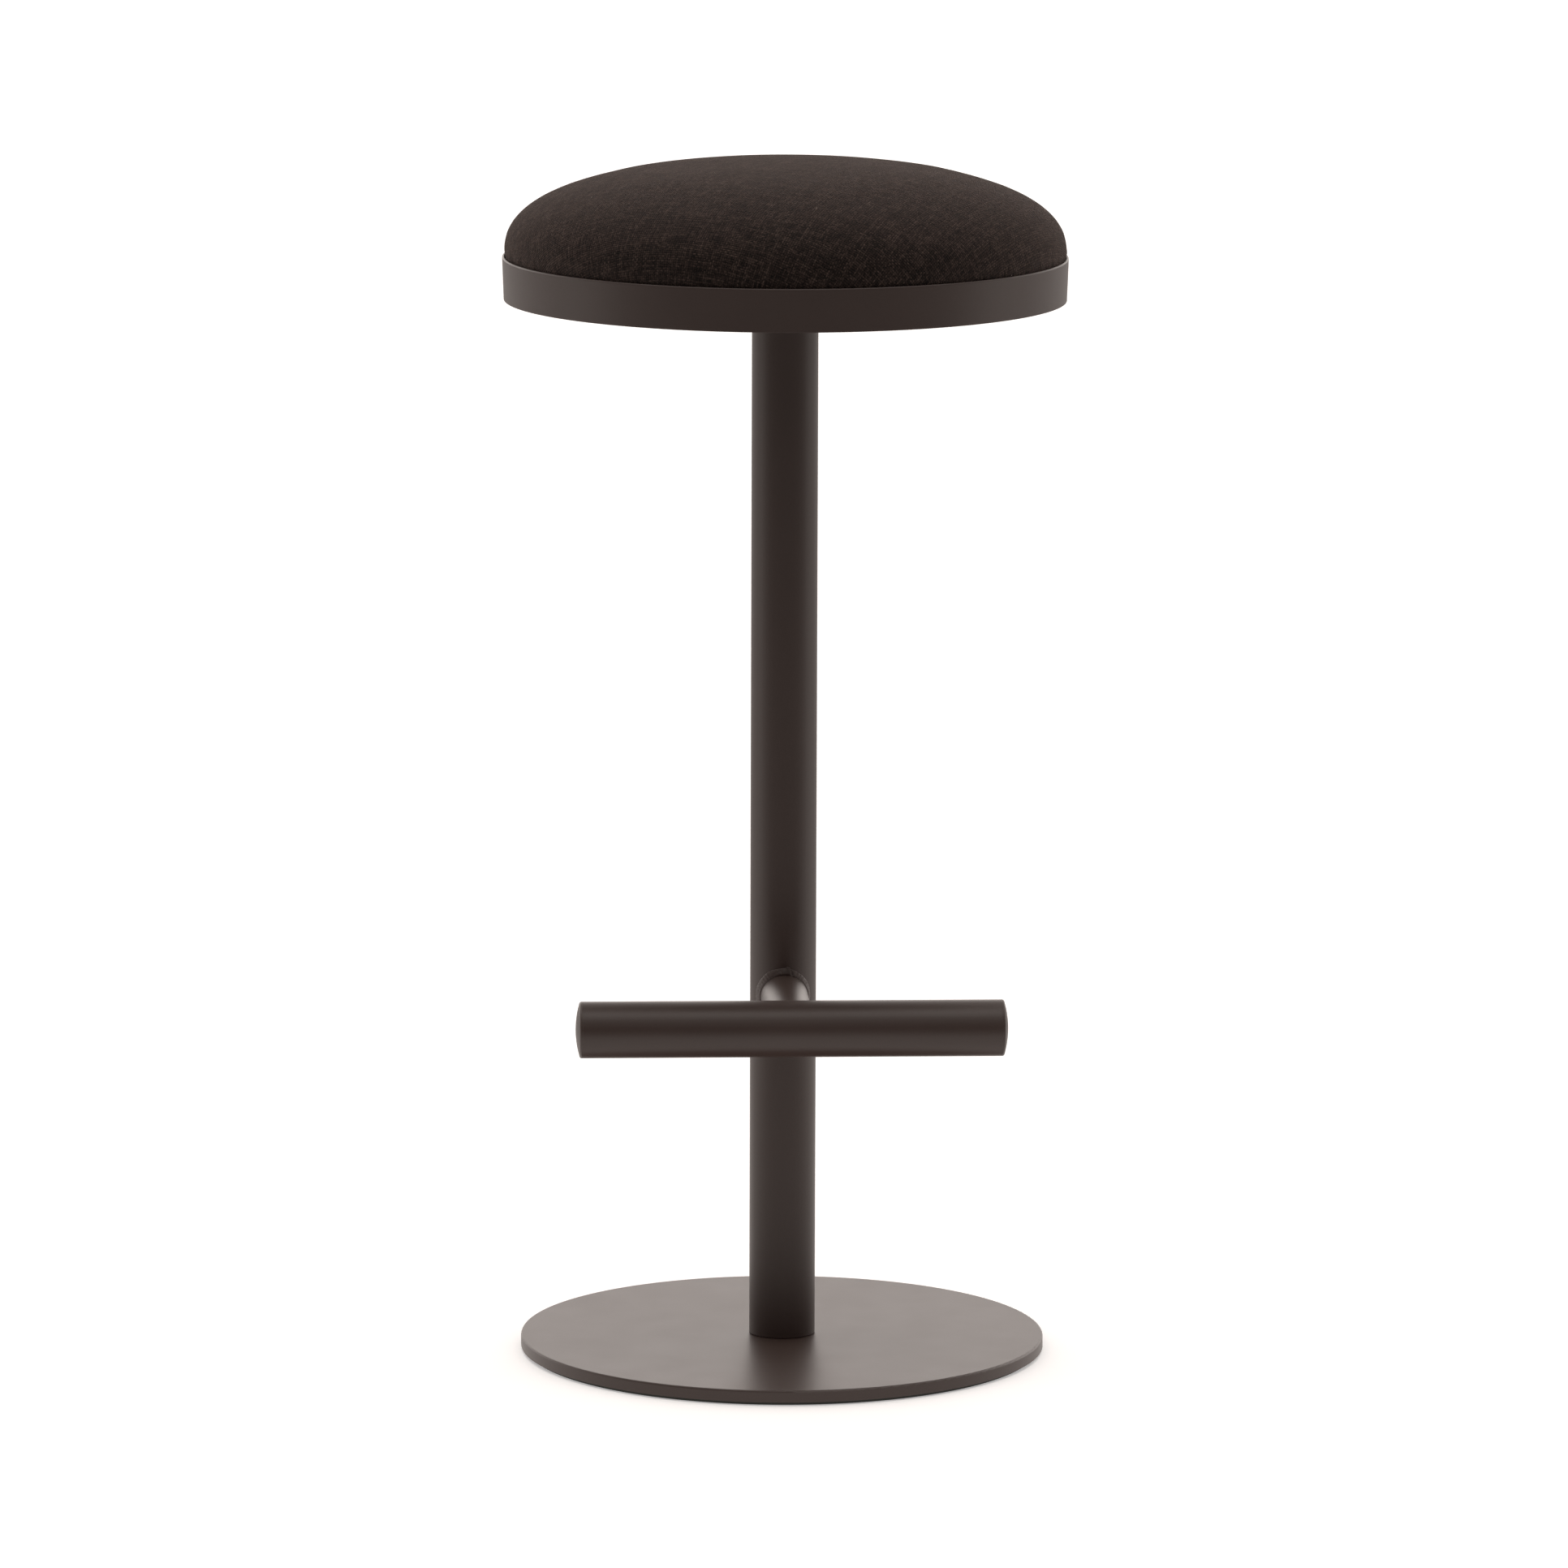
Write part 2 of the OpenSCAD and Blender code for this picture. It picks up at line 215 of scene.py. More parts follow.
world = bpy.data.worlds.new("studio")
scene.world = world
world.use_nodes = True
sky = world.node_tree
sky.nodes.clear()
way = add(sky, "SeparateXYZ", {"Vector": add(sky, "TexCoord").outputs["Generated"]})
low_ring = all_round(sky, way.outputs["Y"], SIDE_TO_BACK, LOW_FRONT, LOW_SIDE, LOW_BACK)
high_ring = fade(sky, way.outputs["Y"], FRONT_TO_BACK, HIGH_FRONT, HIGH_BACK)
walls = fade(sky, way.outputs["Z"], LOW_TO_HIGH, low_ring, high_ring)
dome = fade(sky, way.outputs["Z"], HIGH_TO_OVERHEAD, walls, OVERHEAD)
lit = add(sky, "Background", {"Color": WARM_WHITE, "Strength": dome})
seen = add(sky, "Background", {"Color": PLAIN_WHITE, "Strength": SEEN_BRIGHTNESS})
path = add(sky, "LightPath")
mixed = add(sky, "MixShader", {0: path.outputs["Is Camera Ray"], 1: lit.outputs[0],
                               2: seen.outputs[0]})
add(sky, "OutputWorld", {"Surface": mixed.outputs[0]})
print("surround: back", LOW_BACK, "overhead", OVERHEAD, "front", LOW_FRONT)

# %% [markdown]
# The floor is a big pale sheet. To the camera it is matt white paper that burns out to
# white, with only a faint shadow where the base nearly touches it. To the stool it is a
# soft light from below. The Standard view transform shows light levels as they are, so
# white stays white.

# %% Lay the floor
FLOOR_HALF = 14.0
PAPER_WHITE = (0.9, 0.9, 0.9, 1.0)
PAPER_GLOW = 0.34
FLOOR_SIDE_TO_BACK = (0.2, 1.2)
NEAR_TO_FAR = (0.6, 1.4)

floor_mesh = bpy.data.meshes.new("floor")
corners = [(-FLOOR_HALF, -FLOOR_HALF, 0), (FLOOR_HALF, -FLOOR_HALF, 0),
           (FLOOR_HALF, FLOOR_HALF, 0), (-FLOOR_HALF, FLOOR_HALF, 0)]
floor_mesh.from_pydata(corners, [], [(0, 1, 2, 3)])
floor = bpy.data.objects.new("floor", floor_mesh)
scene.collection.objects.link(floor)

paper, tree, out = material("white_paper_sweep")
spot = add(tree, "TexCoord").outputs["Object"]
part = add(tree, "SeparateXYZ", {"Vector": spot})
distance = add(tree, "VectorMath", {0: spot}, operation="LENGTH").outputs["Value"]
far = all_round(tree, part.outputs["Y"], FLOOR_SIDE_TO_BACK, FLOOR_FRONT, FLOOR_SIDE, FLOOR_BACK)
bounce = fade(tree, distance, NEAR_TO_FAR, FLOOR_NEAR, far)
light_back = add(tree, "Emission", {"Color": WARM_WHITE, "Strength": bounce})
matt = add(tree, "BsdfDiffuse", {"Color": PAPER_WHITE})
glow = add(tree, "Emission", {"Color": PLAIN_WHITE, "Strength": PAPER_GLOW})
looks = add(tree, "AddShader", {0: matt.outputs[0], 1: glow.outputs[0]})
path = add(tree, "LightPath")
mixed = add(tree, "MixShader", {0: path.outputs["Is Camera Ray"], 1: light_back.outputs[0],
                                2: looks.outputs[0]})
tree.links.new(mixed.outputs[0], out.inputs["Surface"])
floor_mesh.materials.append(paper)
scene.view_settings.view_transform = "Standard"
print("floor laid")

# %% [markdown]
# ## Powder coat on steel
#
# Polyester powder coat is sprayed on dry, then baked until it flows. It comes out as a
# satin skin about 80 micrometres thick, with a very fine grit to it, and it thins on
# sharp edges. To the eye it is one warm grey-brown, never mirror-like: a broad soft
# sheen that grows strong at a glancing angle. It is a plastic over metal, so it is not
# metallic and has the IOR of a polyester, 1.5. The grit is real height and goes in as
# bump. Real grit is a few tenths of a millimetre wide, too fine to show, so it is drawn at
# about half a millimetre. A rounded-edge normal softens the sharp corners as paint does,
# and the same normal, compared with the true one, finds the edges where the coat is thin.

# %% Make the powder coat
COAT = "#3a2e2a"
COAT_LIGHT = "#433531"
COAT_EDGE = "#5c504a"
GRIT_MM = 0.55
GRIT_SHARE = 0.5
MOTTLE_MM = 30.0
FLOW_MM = 4.0
PATCH_SHARE = 0.08
ROUGH_LOW, ROUGH_HIGH = 0.385, 0.405
EDGE_R_MM = 0.5
EDGE_STARTS, EDGE_FULL, EDGE_SHARE = 0.98, 0.85, 0.7
BEVEL_SAMPLES = 4

powder_coat, tree, out = material("satin_powder_coat")
spot = add(tree, "TexCoord").outputs["Object"]
grit = add(tree, "TexNoise", {"Vector": spot, "Scale": per_metre(GRIT_MM),
                              "Detail": 2.0, "Roughness": 0.6})
flow = add(tree, "TexNoise", {"Vector": spot, "Scale": per_metre(FLOW_MM), "Detail": 1.0})
mottle = add(tree, "TexNoise", {"Vector": spot, "Scale": per_metre(MOTTLE_MM), "Detail": 3.0})
grains = add(tree, "MapRange", {"Value": grit.outputs["Fac"],
                                "From Min": NOISE_LOW, "From Max": NOISE_HIGH})
patches = add(tree, "MapRange", {"Value": mottle.outputs["Fac"],
                                 "From Min": NOISE_LOW, "From Max": NOISE_HIGH,
                                 "To Min": -PATCH_SHARE, "To Max": PATCH_SHARE})
shade = add(tree, "Math", {0: grains.outputs[0], 1: GRIT_SHARE, 2: patches.outputs[0]},
            operation="MULTIPLY_ADD")
colour = add(tree, "Mix", {"Factor": shade.outputs[0], "A": linear(COAT), "B": linear(COAT_LIGHT)},
             data_type="RGBA")
rounded = add(tree, "Bevel", {"Radius": EDGE_R_MM * MM}, samples=BEVEL_SAMPLES)
true_normal = add(tree, "NewGeometry").outputs["Normal"]
match = add(tree, "VectorMath", {0: rounded.outputs[0], 1: true_normal}, operation="DOT_PRODUCT")
thin = add(tree, "MapRange", {"Value": match.outputs["Value"],
                              "From Min": EDGE_STARTS, "From Max": EDGE_FULL,
                              "To Min": 0.0, "To Max": EDGE_SHARE})
edged = add(tree, "Mix", {"Factor": thin.outputs[0], "A": colour.outputs["Result"],
                          "B": linear(COAT_EDGE)}, data_type="RGBA")
gloss = add(tree, "MapRange", {"Value": mottle.outputs["Fac"],
                               "From Min": NOISE_LOW, "From Max": NOISE_HIGH,
                               "To Min": ROUGH_LOW, "To Max": ROUGH_HIGH})
flow_bump = add(tree, "Bump", {"Strength": 0.25, "Distance": 0.05 * MM, "Height": flow.outputs["Fac"],
                               "Normal": rounded.outputs[0]})
grit_bump = add(tree, "Bump", {"Strength": 0.5, "Distance": 0.05 * MM, "Height": grit.outputs["Fac"],
                               "Normal": flow_bump.outputs[0]})
coat = add(tree, "BsdfPrincipled", {"Base Color": edged.outputs["Result"], "Roughness": gloss.outputs[0],
                                    "IOR": 1.5, "Normal": grit_bump.outputs[0]})
tree.links.new(coat.outputs[0], out.inputs["Surface"])
print("powder coat grit", GRIT_MM, "mm")

# %% [markdown]
# ## Bare and plated steel
#
# Three fastener finishes are inside: bright zinc plate, black zinc plate and the
# phosphate on spring steel. The turned parts are plain steel with fine rings left by the
# tool. All four are one graph with different values: a metal, with fine scratches for
# the zinc and rings round the axis for the turned steel. Real rings and scratches are too
# fine to show, so both are drawn a few times wider. A metal keeps the default IOR,
# because its colour and roughness say all that the eye sees.

# %% Make the steels
SCRATCH_MM = 0.4
SCRATCH_DRAW = (1.0, 1.0, 0.08)
CLOUD_MM = 6.0
RINGS_PER_UNIT = 10 / math.pi  # rings that the wave texture draws in one unit at scale 1


def steel(name, hex_dark, hex_light, rough, ring_mm=None):
    """A metal with fine scratches, or with turning rings if a ring spacing is given."""
    made, tree, out = material(name)
    spot = add(tree, "TexCoord").outputs["Object"]
    if ring_mm:
        rings = add(tree, "TexWave", {"Vector": spot, "Scale": per_metre(ring_mm) / RINGS_PER_UNIT,
                                      "Distortion": 0.4, "Detail": 1.0}, bands_direction="Z")
        mark = rings.outputs["Fac"]
    else:
        drawn = add(tree, "Mapping", {"Vector": spot, "Scale": SCRATCH_DRAW})
        scratches = add(tree, "TexNoise", {"Vector": drawn.outputs[0], "Scale": per_metre(SCRATCH_MM),
                                           "Detail": 4.0})
        mark = scratches.outputs["Fac"]
    cloud = add(tree, "TexNoise", {"Vector": spot, "Scale": per_metre(CLOUD_MM), "Detail": 3.0})
    tone = add(tree, "Mix", {"Factor": cloud.outputs["Fac"], "A": linear(hex_dark),
                             "B": linear(hex_light)}, data_type="RGBA")
    gloss = add(tree, "MapRange", {"Value": mark, "To Min": rough - 0.06, "To Max": rough + 0.1})
    bump = add(tree, "Bump", {"Strength": 0.3, "Distance": 0.03 * MM, "Height": mark})
    metal = add(tree, "BsdfPrincipled", {"Base Color": tone.outputs["Result"], "Metallic": 1.0,
                                         "Roughness": gloss.outputs[0], "Normal": bump.outputs[0]})
    tree.links.new(metal.outputs[0], out.inputs["Surface"])
    return made


turned_steel = steel("turned_steel", "#a39f99", "#c2beb6", 0.3, ring_mm=0.6)
zinc_plate = steel("bright_zinc_plate", "#a9adb0", "#cfd2d3", 0.32)
black_zinc = steel("black_zinc_plate", "#26262a", "#38383b", 0.38)
phosphate = steel("phosphated_spring_steel", "#2f3033", "#484a4d", 0.55)
print("steels made")

# %% [markdown]
# ## Moulded glide ring and acetal bushes
#
# The ring under the base is a soft moulded elastomer: black with a faint green-grey
# bloom, matt, with the fine spark texture of its mould. The bushes and the thrust washer
# are machined from black acetal, a waxy hard plastic, so they are smoother and carry
# faint turning marks. Both are plastics with an IOR near 1.5 and no metal.

# %% Make the rubber and the acetal
BLOOM_MM = 14.0


def plastic(name, hex_dark, hex_light, rough, grain_mm, depth_mm):
    """A plastic with a fine surface grain of one size and depth."""
    made, tree, out = material(name)
    spot = add(tree, "TexCoord").outputs["Object"]
    grain = add(tree, "TexNoise", {"Vector": spot, "Scale": per_metre(grain_mm), "Detail": 3.0})
    bloom = add(tree, "TexNoise", {"Vector": spot, "Scale": per_metre(BLOOM_MM), "Detail": 4.0})
    tone = add(tree, "Mix", {"Factor": bloom.outputs["Fac"], "A": linear(hex_dark),
                             "B": linear(hex_light)}, data_type="RGBA")
    gloss = add(tree, "MapRange", {"Value": bloom.outputs["Fac"],
                                   "To Min": rough - 0.08, "To Max": rough + 0.08})
    bump = add(tree, "Bump", {"Strength": 0.5, "Distance": depth_mm * MM,
                              "Height": grain.outputs["Fac"]})
    body = add(tree, "BsdfPrincipled", {"Base Color": tone.outputs["Result"],
                                        "Roughness": gloss.outputs[0], "IOR": 1.5,
                                        "Normal": bump.outputs[0]})
    tree.links.new(body.outputs[0], out.inputs["Surface"])
    return made


glide_rubber = plastic("moulded_glide_rubber", "#1b1d1a", "#2a2c27", 0.72, 0.8, 0.08)
acetal = plastic("machined_black_acetal", "#141414", "#1f1f20", 0.42, 0.5, 0.02)
print("plastics made")

# %% [markdown]
# ## Plywood and foam
#
# Under the fabric are a birch plywood disc and a block of open-cell foam. They are
# sealed in, but each still has its own finish. Plywood shows thin layers on its edge:
# the grain runs one way in one layer and across it in the next, so the layers alternate
# in tone. The foam is cream and full of holes about half a millimetre wide. Each hole is
# painted a darker cream in its middle as painted shade.

# %% Make the plywood and the foam
BIRCH, BIRCH_PALE, CROSS_PLY = "#b88f5c", "#dcbd8d", "#a27747"
# the darker cream is painted shade for the holes in the foam
CREAM_HOLE_SHADE, CREAM = "#b9ab80", "#efe4bd"
PLY_MM = 1.7
GRAIN_MM = 1.2
GRAIN_DRAW = (0.06, 1.0, 1.0)
CELL_MM = 0.8

birch_plywood, tree, out = material("birch_plywood")
spot = add(tree, "TexCoord").outputs["Object"]
part = add(tree, "SeparateXYZ", {"Vector": spot})
ply = add(tree, "Math", {0: part.outputs["Z"], 1: PLY_MM * MM}, operation="PINGPONG")
layer = add(tree, "Math", {0: ply.outputs[0], 1: PLY_MM * MM / 2}, operation="GREATER_THAN")
drawn = add(tree, "Mapping", {"Vector": spot, "Scale": GRAIN_DRAW})
grain = add(tree, "TexNoise", {"Vector": drawn.outputs[0], "Scale": per_metre(GRAIN_MM),
                               "Detail": 5.0})
face = add(tree, "Mix", {"Factor": grain.outputs["Fac"], "A": linear(BIRCH),
                         "B": linear(BIRCH_PALE)}, data_type="RGBA")
edge = add(tree, "Mix", {"Factor": layer.outputs[0], "A": face.outputs["Result"],
                         "B": linear(CROSS_PLY)}, data_type="RGBA")
bump = add(tree, "Bump", {"Strength": 0.4, "Distance": 0.1 * MM, "Height": grain.outputs["Fac"]})
wood = add(tree, "BsdfPrincipled", {"Base Color": edge.outputs["Result"], "Roughness": 0.68, "IOR": 1.5,
                                    "Normal": bump.outputs[0]})
tree.links.new(wood.outputs[0], out.inputs["Surface"])

cut_foam, tree, out = material("open_cell_foam")
spot = add(tree, "TexCoord").outputs["Object"]
cells = add(tree, "TexVoronoi", {"Vector": spot, "Scale": per_metre(CELL_MM)})
# painted shade: the foam's cream is darker in the middle of each hole, where the bump is lowest
tone = add(tree, "Mix", {"Factor": cells.outputs["Distance"], "A": linear(CREAM_HOLE_SHADE),
                         "B": linear(CREAM)}, data_type="RGBA")
bump = add(tree, "Bump", {"Strength": 0.8, "Distance": 0.3 * MM, "Height": cells.outputs["Distance"]})
sponge = add(tree, "BsdfPrincipled", {"Base Color": tone.outputs["Result"], "Roughness": 0.9,
                                      "Normal": bump.outputs[0]})
tree.links.new(sponge.outputs[0], out.inputs["Surface"])
print("plywood and foam made")

# %% [markdown]
# ## Woven upholstery
#
# The seat is covered in a fine plain weave of dark brown wool-blend yarn, about a dozen
# threads to two centimetres. Warp and weft pass over and under each other one by one, so
# the surface is a checker of small humps. No thread is even: it is lighter or darker for
# a centimetre or so at a time, and that reads as fine streaks that follow the cloth over
# the dome. Wool catches light between its fibres, so its plain gloss is low and the pale
# rim of the seat comes from sheen. A loose fibre is far too fine to show, so the fuzz is
# drawn about as wide as a thread. A few specks of lint lie on the cloth.
#
# The pattern runs on a position in the cloth, not in the room: the seat mesh stores for
# each point how far it is from the crown along the surface, so the threads keep their
# spacing down the steep sides.
#
# Threads are drawn by sines. One hump per thread comes from the size of a sine, and the
# product of the two sines says which of the two is on top.

# %% Make the upholstery
THREAD_MM = 1.65
WEAVE_TURN = math.radians(26.0)
STREAK = 0.14
FIBRE_MM = 1.7
DRIFT_MM = 1.5
DRIFT_SIZE_MM = 25.0
LINT_MM = 26.0
LINT_R = 0.016
TONE_SHARE, FIBRE_SHARE = 0.6, 0.6
DARK_AT, MIDDLE_AT, LIGHT_AT = 0.44, 0.59, 0.77
# colour factors from the weave height: painted shade in the pits between threads, painted light on the
# thread tops
PIT_REACH, WEAVE_SHADE_AND_LIGHT = (0.15, 0.75), (0.4, 1.15)
CLOTH_PLACE = "cloth_place"
YARN_DARK = "#130e0d"
YARN = "#281f1c"
YARN_LIGHT = "#483c37"
LINT = "#9a918a"

upholstery, tree, out = material("woven_upholstery")
place = add(tree, "Attribute", attribute_name=CLOTH_PLACE).outputs["Vector"]
# a cover pulled on by hand never lies quite straight: the threads drift a little
wobble = add(tree, "TexNoise", {"Vector": place, "Scale": per_metre(DRIFT_SIZE_MM), "Detail": 1.0})
drift = add(tree, "VectorMath", {0: wobble.outputs["Color"], "Scale": DRIFT_MM * MM},
            operation="SCALE")
loose = add(tree, "VectorMath", {0: place, 1: drift.outputs[0]}, operation="ADD")
cloth = add(tree, "Mapping", {"Vector": loose.outputs[0], "Rotation": (0, 0, WEAVE_TURN)}).outputs[0]
axis = add(tree, "SeparateXYZ", {"Vector": cloth})


def thread_wave(tree, distance):
    """A sine with one half wave per thread."""
    phase = add(tree, "Math", {0: distance, 1: math.pi * per_metre(THREAD_MM)}, operation="MULTIPLY")
    return add(tree, "Math", {0: phase.outputs[0]}, operation="SINE").outputs[0]


def streaks(tree, cloth, along):
    """Noise that is fine across the threads and long along them."""
    stretch = (STREAK, 1.0, 1.0) if along == "X" else (1.0, STREAK, 1.0)
    drawn = add(tree, "Mapping", {"Vector": cloth, "Scale": stretch})
    return add(tree, "TexNoise", {"Vector": drawn.outputs[0], "Scale": per_metre(THREAD_MM * 1.25),
                                  "Detail": 1.0, "Roughness": 0.6}).outputs["Fac"]


print("threads in 20 mm:", round(20 / THREAD_MM, 1))

# %% [markdown]
# At each crossing the higher thread gives the height and the tone. The tone picks a
# colour between the dark and the light yarn. Painted shade darkens that colour in the pits
# between threads, and painted light makes it a little lighter on the thread tops. The
# height of the weave and of the loose fibres goes in as bump.

# %% Weave the threads
warp_wave = thread_wave(tree, axis.outputs["X"])
weft_wave = thread_wave(tree, axis.outputs["Y"])
crossing = add(tree, "Math", {0: warp_wave, 1: weft_wave}, operation="MULTIPLY")
warp_up = add(tree, "Math", {0: crossing.outputs[0], 1: 0.5, 2: 0.5}, operation="MULTIPLY_ADD")
weft_up = add(tree, "Math", {0: 1.0, 1: warp_up.outputs[0]}, operation="SUBTRACT")
warp_hump = add(tree, "Math", {0: warp_wave}, operation="ABSOLUTE")
weft_hump = add(tree, "Math", {0: weft_wave}, operation="ABSOLUTE")
warp_height = add(tree, "Math", {0: warp_hump.outputs[0], 1: warp_up.outputs[0]}, operation="MULTIPLY")
weft_height = add(tree, "Math", {0: weft_hump.outputs[0], 1: weft_up.outputs[0]}, operation="MULTIPLY")
height = add(tree, "Math", {0: warp_height.outputs[0], 1: weft_height.outputs[0]}, operation="MAXIMUM")
on_top = add(tree, "Math", {0: warp_height.outputs[0], 1: weft_height.outputs[0]},
             operation="GREATER_THAN")
warp_tone = streaks(tree, cloth, "Y")
weft_tone = streaks(tree, cloth, "X")
tone = add(tree, "Mix", {"Factor": on_top.outputs[0], "A": weft_tone, "B": warp_tone})
fibre = add(tree, "TexNoise", {"Vector": cloth, "Scale": per_metre(FIBRE_MM),
                               "Detail": 2.0, "Roughness": 0.7})
thread_tone = add(tree, "Math", {0: tone.outputs["Result"], 1: TONE_SHARE}, operation="MULTIPLY")
yarn_tone = add(tree, "Math", {0: fibre.outputs["Fac"], 1: FIBRE_SHARE, 2: thread_tone.outputs[0]},
                operation="MULTIPLY_ADD")
yarn = add(tree, "ValToRGB", {"Fac": yarn_tone.outputs[0]})
yarn.color_ramp.elements[0].position = DARK_AT
yarn.color_ramp.elements[0].color = linear(YARN_DARK)
yarn.color_ramp.elements[1].position = LIGHT_AT
yarn.color_ramp.elements[1].color = linear(YARN_LIGHT)
middle = yarn.color_ramp.elements.new(MIDDLE_AT)
middle.color = linear(YARN)
# painted shade and light: the yarn colour is darkened in the pits between threads and lightened on the
# thread tops
painted_weave_shade = add(tree, "MapRange", {"Value": height.outputs[0],
                             "From Min": PIT_REACH[0], "From Max": PIT_REACH[1],
                             "To Min": WEAVE_SHADE_AND_LIGHT[0], "To Max": WEAVE_SHADE_AND_LIGHT[1]})
shaded = add(tree, "Mix", {"Factor": 1.0, "A": yarn.outputs["Color"], "B": painted_weave_shade.outputs[0]},
             data_type="RGBA", blend_type="MULTIPLY")
lint = add(tree, "TexVoronoi", {"Vector": cloth, "Scale": per_metre(LINT_MM)})
speck = add(tree, "Math", {0: lint.outputs["Distance"], 1: LINT_R}, operation="LESS_THAN")
dusted = add(tree, "Mix", {"Factor": speck.outputs[0], "A": shaded.outputs["Result"],
                           "B": linear(LINT)}, data_type="RGBA")
bump = add(tree, "Bump", {"Strength": 0.9, "Distance": 0.4 * MM, "Height": height.outputs[0]})
fuzz = add(tree, "Bump", {"Strength": 0.7, "Distance": 0.5 * MM, "Height": fibre.outputs["Fac"],
                          "Normal": bump.outputs[0]})
wool = add(tree, "BsdfPrincipled", {"Base Color": dusted.outputs["Result"], "Roughness": 0.88,
                                    "Specular IOR Level": 0.15,
                                    "Sheen Weight": 0.26, "Sheen Roughness": 0.38,
                                    "Sheen Tint": linear("#a89087"), "Normal": fuzz.outputs[0]})
tree.links.new(wool.outputs[0], out.inputs["Surface"])
print("weave", THREAD_MM, "mm per thread")

# %% [markdown]
# ## Give the CAD pieces their finishes
#
# A CAD piece whose shape is right keeps its mesh. It only gets the material of its own
# finish, in the slot that it already has.

# %% Assign the finishes
FINISHES = {
    "powder_coated_steel": powder_coat,
    "glide_rubber": glide_rubber,
    "bare_steel": turned_steel,
    "zinc_steel": zinc_plate,
    "black_zinc_steel": black_zinc,
    "spring_steel": phosphate,
    "acetal": acetal,
    "plywood": birch_plywood,
    "foam": cut_foam,
    "upholstery": upholstery,
}
for entry in frame["record"]["subparts"]:
    for slot in frame["nodes"][entry["node"]].material_slots:
        slot.material = FINISHES[entry["material_slot"]]

# %% [markdown]
# ## The seat cushion
#
# The real seat is a moulded foam dome with fabric pulled over it and tucked into the
# tray. Its outline is a rounded square turned about the column: nearly upright where it
# leaves the rim, full at the shoulder and almost flat on top. A lathed dome would be too
# perfect. So the cushion starts as a slightly smaller closed form, is remeshed into even
# little quads, and is then blown up as cloth with its tucked edge held. The foam inside
# and the tightness of the fabric set how far the cloth may go in and out, so it comes
# out taut over the shoulder and a little soft on the crown.

# %% Shape the cushion's outline
SHOULDER_R = 190.3 * MM
SHOULDER_Z = rim_z + 4 * MM
DOME_POWER = 2.3
DOME_H = crown_z - SHOULDER_Z
TUCK_TOP = rim_z - 5 * MM
UNDER_Z = pan_top + 0.2 * MM
START_SHRINK = 0.96
START_INSET = 1 * MM
OUTLINE_STEPS = 48
SIDE_STEPS = 10
ROUND_STEPS = 160


def smooth(t):
    """A soft step from 0 to 1."""
    t = min(max(t, 0.0), 1.0)
    return t * t * (3 - 2 * t)


def side_radius(z):
    """The fabric's radius below the shoulder, where it is tucked into the tray."""
    return tucked_r + (SHOULDER_R - tucked_r) * smooth((z - TUCK_TOP) / (SHOULDER_Z - TUCK_TOP))


def dome_point(angle, shrink=1.0):
    """Radius and height on the dome, for an angle from 0 at the shoulder to 90 degrees on top."""
    bend = 2 / DOME_POWER
    r = SHOULDER_R * shrink * math.cos(angle) ** bend
    return r, SHOULDER_Z + DOME_H * shrink * math.sin(angle) ** bend


def lathe(name, outline):
    """Turn an outline of (radius, height) points about the column's axis into a closed mesh."""
    mesh = bmesh.new()
    rings = []
    for r, z in outline:
        if r == 0:
            rings.append([mesh.verts.new((0, 0, z))])
            continue
        turns = [2 * math.pi * i / ROUND_STEPS for i in range(ROUND_STEPS)]
        rings.append([mesh.verts.new((r * math.cos(a), r * math.sin(a), z)) for a in turns])
    for lower, upper in zip(rings, rings[1:]):
        for i in range(ROUND_STEPS):
            j = (i + 1) % ROUND_STEPS
            corners = [lower[i % len(lower)], lower[j % len(lower)],
                       upper[j % len(upper)], upper[i % len(upper)]]
            mesh.faces.new(list(dict.fromkeys(corners)))
    bmesh.ops.recalc_face_normals(mesh, faces=mesh.faces)
    data = bpy.data.meshes.new(name)
    mesh.to_mesh(data)
    mesh.free()
    made = bpy.data.objects.new(name, data)
    scene.collection.objects.link(made)
    return made


outline = [(0, UNDER_Z), (tucked_r / 2, UNDER_Z), (tucked_r - START_INSET, UNDER_Z)]
side_heights = np.linspace(UNDER_Z + 2 * MM, SHOULDER_Z, SIDE_STEPS)
outline += [(side_radius(z) - START_INSET, z) for z in side_heights]
angles = [math.pi / 2 * i / OUTLINE_STEPS for i in range(1, OUTLINE_STEPS)]
outline += [dome_point(angle, START_SHRINK) for angle in angles]
outline += [(0, SHOULDER_Z + DOME_H * START_SHRINK)]
cushion = lathe("seat_cushion", outline)
print("cushion starts with", len(cushion.data.vertices), "points")

# %% [markdown]
# The form is remeshed to even quads of about 5 mm. Everything below the rim is held,
# because the tray holds it. Pressure then fills it for twenty frames with gravity
# off, and the result becomes the mesh itself. Each point is then kept between the foam
# and the limit of the taut fabric, which also keeps the tucked part inside the tray. A
# slow, very small waviness comes last: a cover fitted by hand is never quite even. Here
# the crown sits a little low on one side and the shoulder is fuller on the other.

# %% Blow up the cushion
VOXEL = 5 * MM
FRAMES = 20
PRESSURE = 4.0
SLACK = 0.996
HELD = "held_by_tray"
CORNER = 3 * MM


def apply_modifier(obj, name):
    """Make one modifier's result the object's own mesh."""
    bpy.context.view_layer.objects.active = obj
    bpy.ops.object.modifier_apply(modifier=name)


